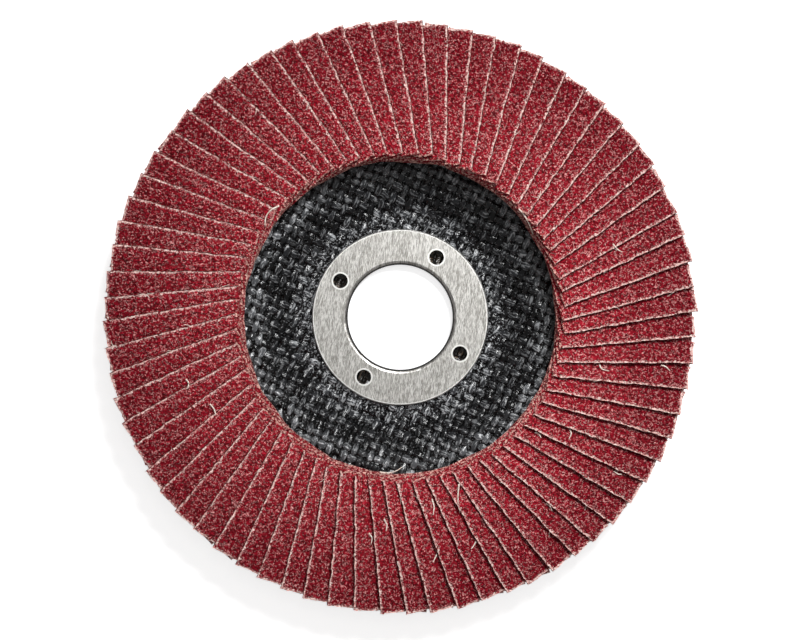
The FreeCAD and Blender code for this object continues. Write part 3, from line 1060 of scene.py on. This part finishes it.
def make_plate_finish():
    finish = new_finish("resin_and_glass_cloth")
    place = finish.stored("yarn_place", "Vector")
    solid_place = finish.place_in_mm()
    height_u, height_v, crossing = yarn_heights(finish, place)
    yarn_height = finish.total(finish.maths("MAXIMUM", height_u, height_v), rise_share)
    u_on_top = finish.maths("GREATER_THAN", height_u, height_v)

    along_rows = finish.noise(finish.stretched(place, (1.1, 5.0, 1.0)), 1.0, 2.0, 0.6)
    across_rows = finish.noise(finish.stretched(place, (4.2, 1.4, 1.0)), 1.0, 2.0, 0.6)
    hair = finish.blend(u_on_top, along_rows, across_rows)
    own = finish.vector("ADD", crossing, finish.add("CombineXYZ", {"Z": u_on_top}).outputs[0])
    own_light = finish.add("TexWhiteNoise", {"Vector": own}).outputs["Value"]
    crown = finish.band(yarn_height, 0.58, 0.86)
    fleck = finish.noise(solid_place, 2.4)

    streak = finish.product(finish.band(hair, 0.52, 0.59), crown, finish.band(own_light, 0.1, 0.9))
    radius = from_axis(finish, solid_place)
    under_ring = finish.maths("LESS_THAN", radius, ring_radius / mm - ring_shadow)
    down_slope = finish.product(finish.band(radius, *slope_start),
                                finish.opposite(finish.band(radius, *slope_end)))
    on_lip = finish.band(radius, *lip_start)
    beside_ring = finish.opposite(finish.band(radius, *specks_end))
    fleck_share = finish.total(fleck, finish.product(beside_ring, 0.06))
    speck = finish.product(finish.band(fleck_share, 0.62, 0.68), 0.6)
    grey = finish.product(crown, finish.band(own_light, -0.1, 1.1))
    # Crowns are grey, partly glass under the resin and partly painted sheen; on the lip they are painted
    # lighter.
    body = finish.mix(grey, black_resin_and_slope_shade, finish.mix(on_lip, crown_grey_and_sheen, lip_painted_light_grey))
    # Streaks along the hairs and pale specks are painted glints.
    body = finish.mix(finish.maths("MAXIMUM", streak, speck), body, painted_glint_grey)
    # On the slope of the dish the colour is painted in shade.
    body = finish.mix(finish.product(down_slope, 0.55), body, black_resin_and_slope_shade)
    # Under the ring the colour is painted in shade, nearly black with brownish streaks.
    body = finish.mix(under_ring, body, finish.mix(streak, *painted_shade_under_ring))
    rough = finish.blend(finish.band(yarn_height, 0.32, 0.5), 0.5, 0.19)
    height = finish.total(yarn_height, finish.product(hair, 0.2))
    height = finish.total(height, finish.product(fleck, 0.10))
    shine = finish.blend(down_slope, 0.5, 0.4)
    return finish.rough_surface(body, rough, height, 0.7 * mm, others={"Specular IOR Level": shine})


plate.data.materials.append(make_plate_finish())
print("plate finish done")

# %% [markdown]
# The steel ring keeps its solid shape, because a stamping of sheet steel is just such a shape. Its finish
# is brushed: hairlines run straight across the whole ring, because the sheet was ground before the ring
# was stamped out of it. Noise that is stretched seven or eight times along one side makes them. The rims
# of the holes and of the ring itself are painted bright, a painted highlight, and the bend into the bore
# is painted dark and not metal, a painted dark reflection.
# The named bands are distances in millimetres from the axis, or from the middle of a hole.


# %% Finish of the steel ring
ground_steel = (colour(0.31, 0.297, 0.27), colour(0.78, 0.765, 0.73))
dull_steel, painted_dark_reflection = colour(0.52, 0.50, 0.47), colour(0.012, 0.011, 0.010)
painted_rim_highlight = colour(0.95, 0.94, 0.90)
grinding_turn = math.radians(6)
dark_bend_end = (11.40, 11.46)
hole_rim_start, hole_rim_end = (1.4, 1.5), (1.85, 1.95)
outer_rim_start = (18.2, 18.3)


def make_steel_finish():
    finish = new_finish("brushed_steel")
    place = finish.place_in_mm()
    fine = finish.noise(finish.stretched(place, (6.0, 0.9, 1.0), grinding_turn), 1.0, 3.0, 0.75)
    coarse = finish.noise(finish.stretched(place, (1.3, 0.16, 1.0), grinding_turn), 1.0)
    cloudy = finish.noise(place, 0.3, 3.0)
    scratch = finish.total(finish.product(fine, 0.8), finish.product(coarse, 0.2))
    body = finish.mix(finish.band(scratch, 0.42, 0.58), *ground_steel)
    body = finish.mix(finish.product(finish.band(cloudy, 0.4, 0.7), 0.3), body, dull_steel)

    radius = from_axis(finish, place)
    # The bend into the bore is painted dark and not metal, a painted dark reflection.
    beyond_dark_bend = finish.band(radius, *dark_bend_end)
    body = finish.mix(beyond_dark_bend, painted_dark_reflection, body)
    to_diagonal = {"Vector": place, "Angle": math.radians(45) - first_claw_turn}
    quarter = finish.vector("ABSOLUTE", finish.add("VectorRotate", to_diagonal).outputs[0])
    hole_side = claw_circle / mm * math.sqrt(0.5)
    from_hole = from_axis(finish, finish.vector("SUBTRACT", quarter, (hole_side, hole_side, 0)))
    hole_rim = finish.product(finish.band(from_hole, *hole_rim_start),
                              finish.opposite(finish.band(from_hole, *hole_rim_end)))
    outer_rim = finish.band(radius, *outer_rim_start)
    # The rims of the holes and of the ring are painted bright, a painted highlight.
    body = finish.mix(finish.maths("MAXIMUM", hole_rim, outer_rim), body, painted_rim_highlight)

    rough = finish.blend(fine, 0.24, 0.42)
    return finish.rough_surface(body, rough, scratch, 0.03 * mm, 0.5,
                                {"Metallic": beyond_dark_bend, "Specular IOR Level": 0.1})


steel_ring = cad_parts["center_ring"]
steel_ring.data.materials.clear()
steel_ring.data.materials.append(make_steel_finish())
print("ring faces", len(steel_ring.data.polygons))

# %% [markdown]
# The adhesive is a hard reddish brown glue, poured as a ring and pressed into ridges by the flaps. Little
# of it shows, only from low down inside the dish, so it keeps its solid shape and gets a cured, slightly
# pitted finish.


# %% Finish of the adhesive
cured_glue = (colour(0.26, 0.045, 0.030), colour(0.46, 0.14, 0.10))


def make_glue_finish():
    finish = new_finish("cured_adhesive")
    place = finish.place_in_mm()
    cloudy = finish.noise(place, 0.8, 4.0, 0.6)
    pore = finish.add("TexVoronoi", {"Vector": place, "Scale": 1.6}).outputs["Distance"]
    body = finish.mix(finish.band(cloudy, 0.3, 0.7), *cured_glue)
    rough = finish.blend(cloudy, 0.35, 0.75)
    height = finish.total(cloudy, pore)
    return finish.rough_surface(body, rough, height, 0.15 * mm, 0.6)


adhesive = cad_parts["adhesive_bed"]
adhesive.data.materials.clear()
adhesive.data.materials.append(make_glue_finish())
print("adhesive finish done")
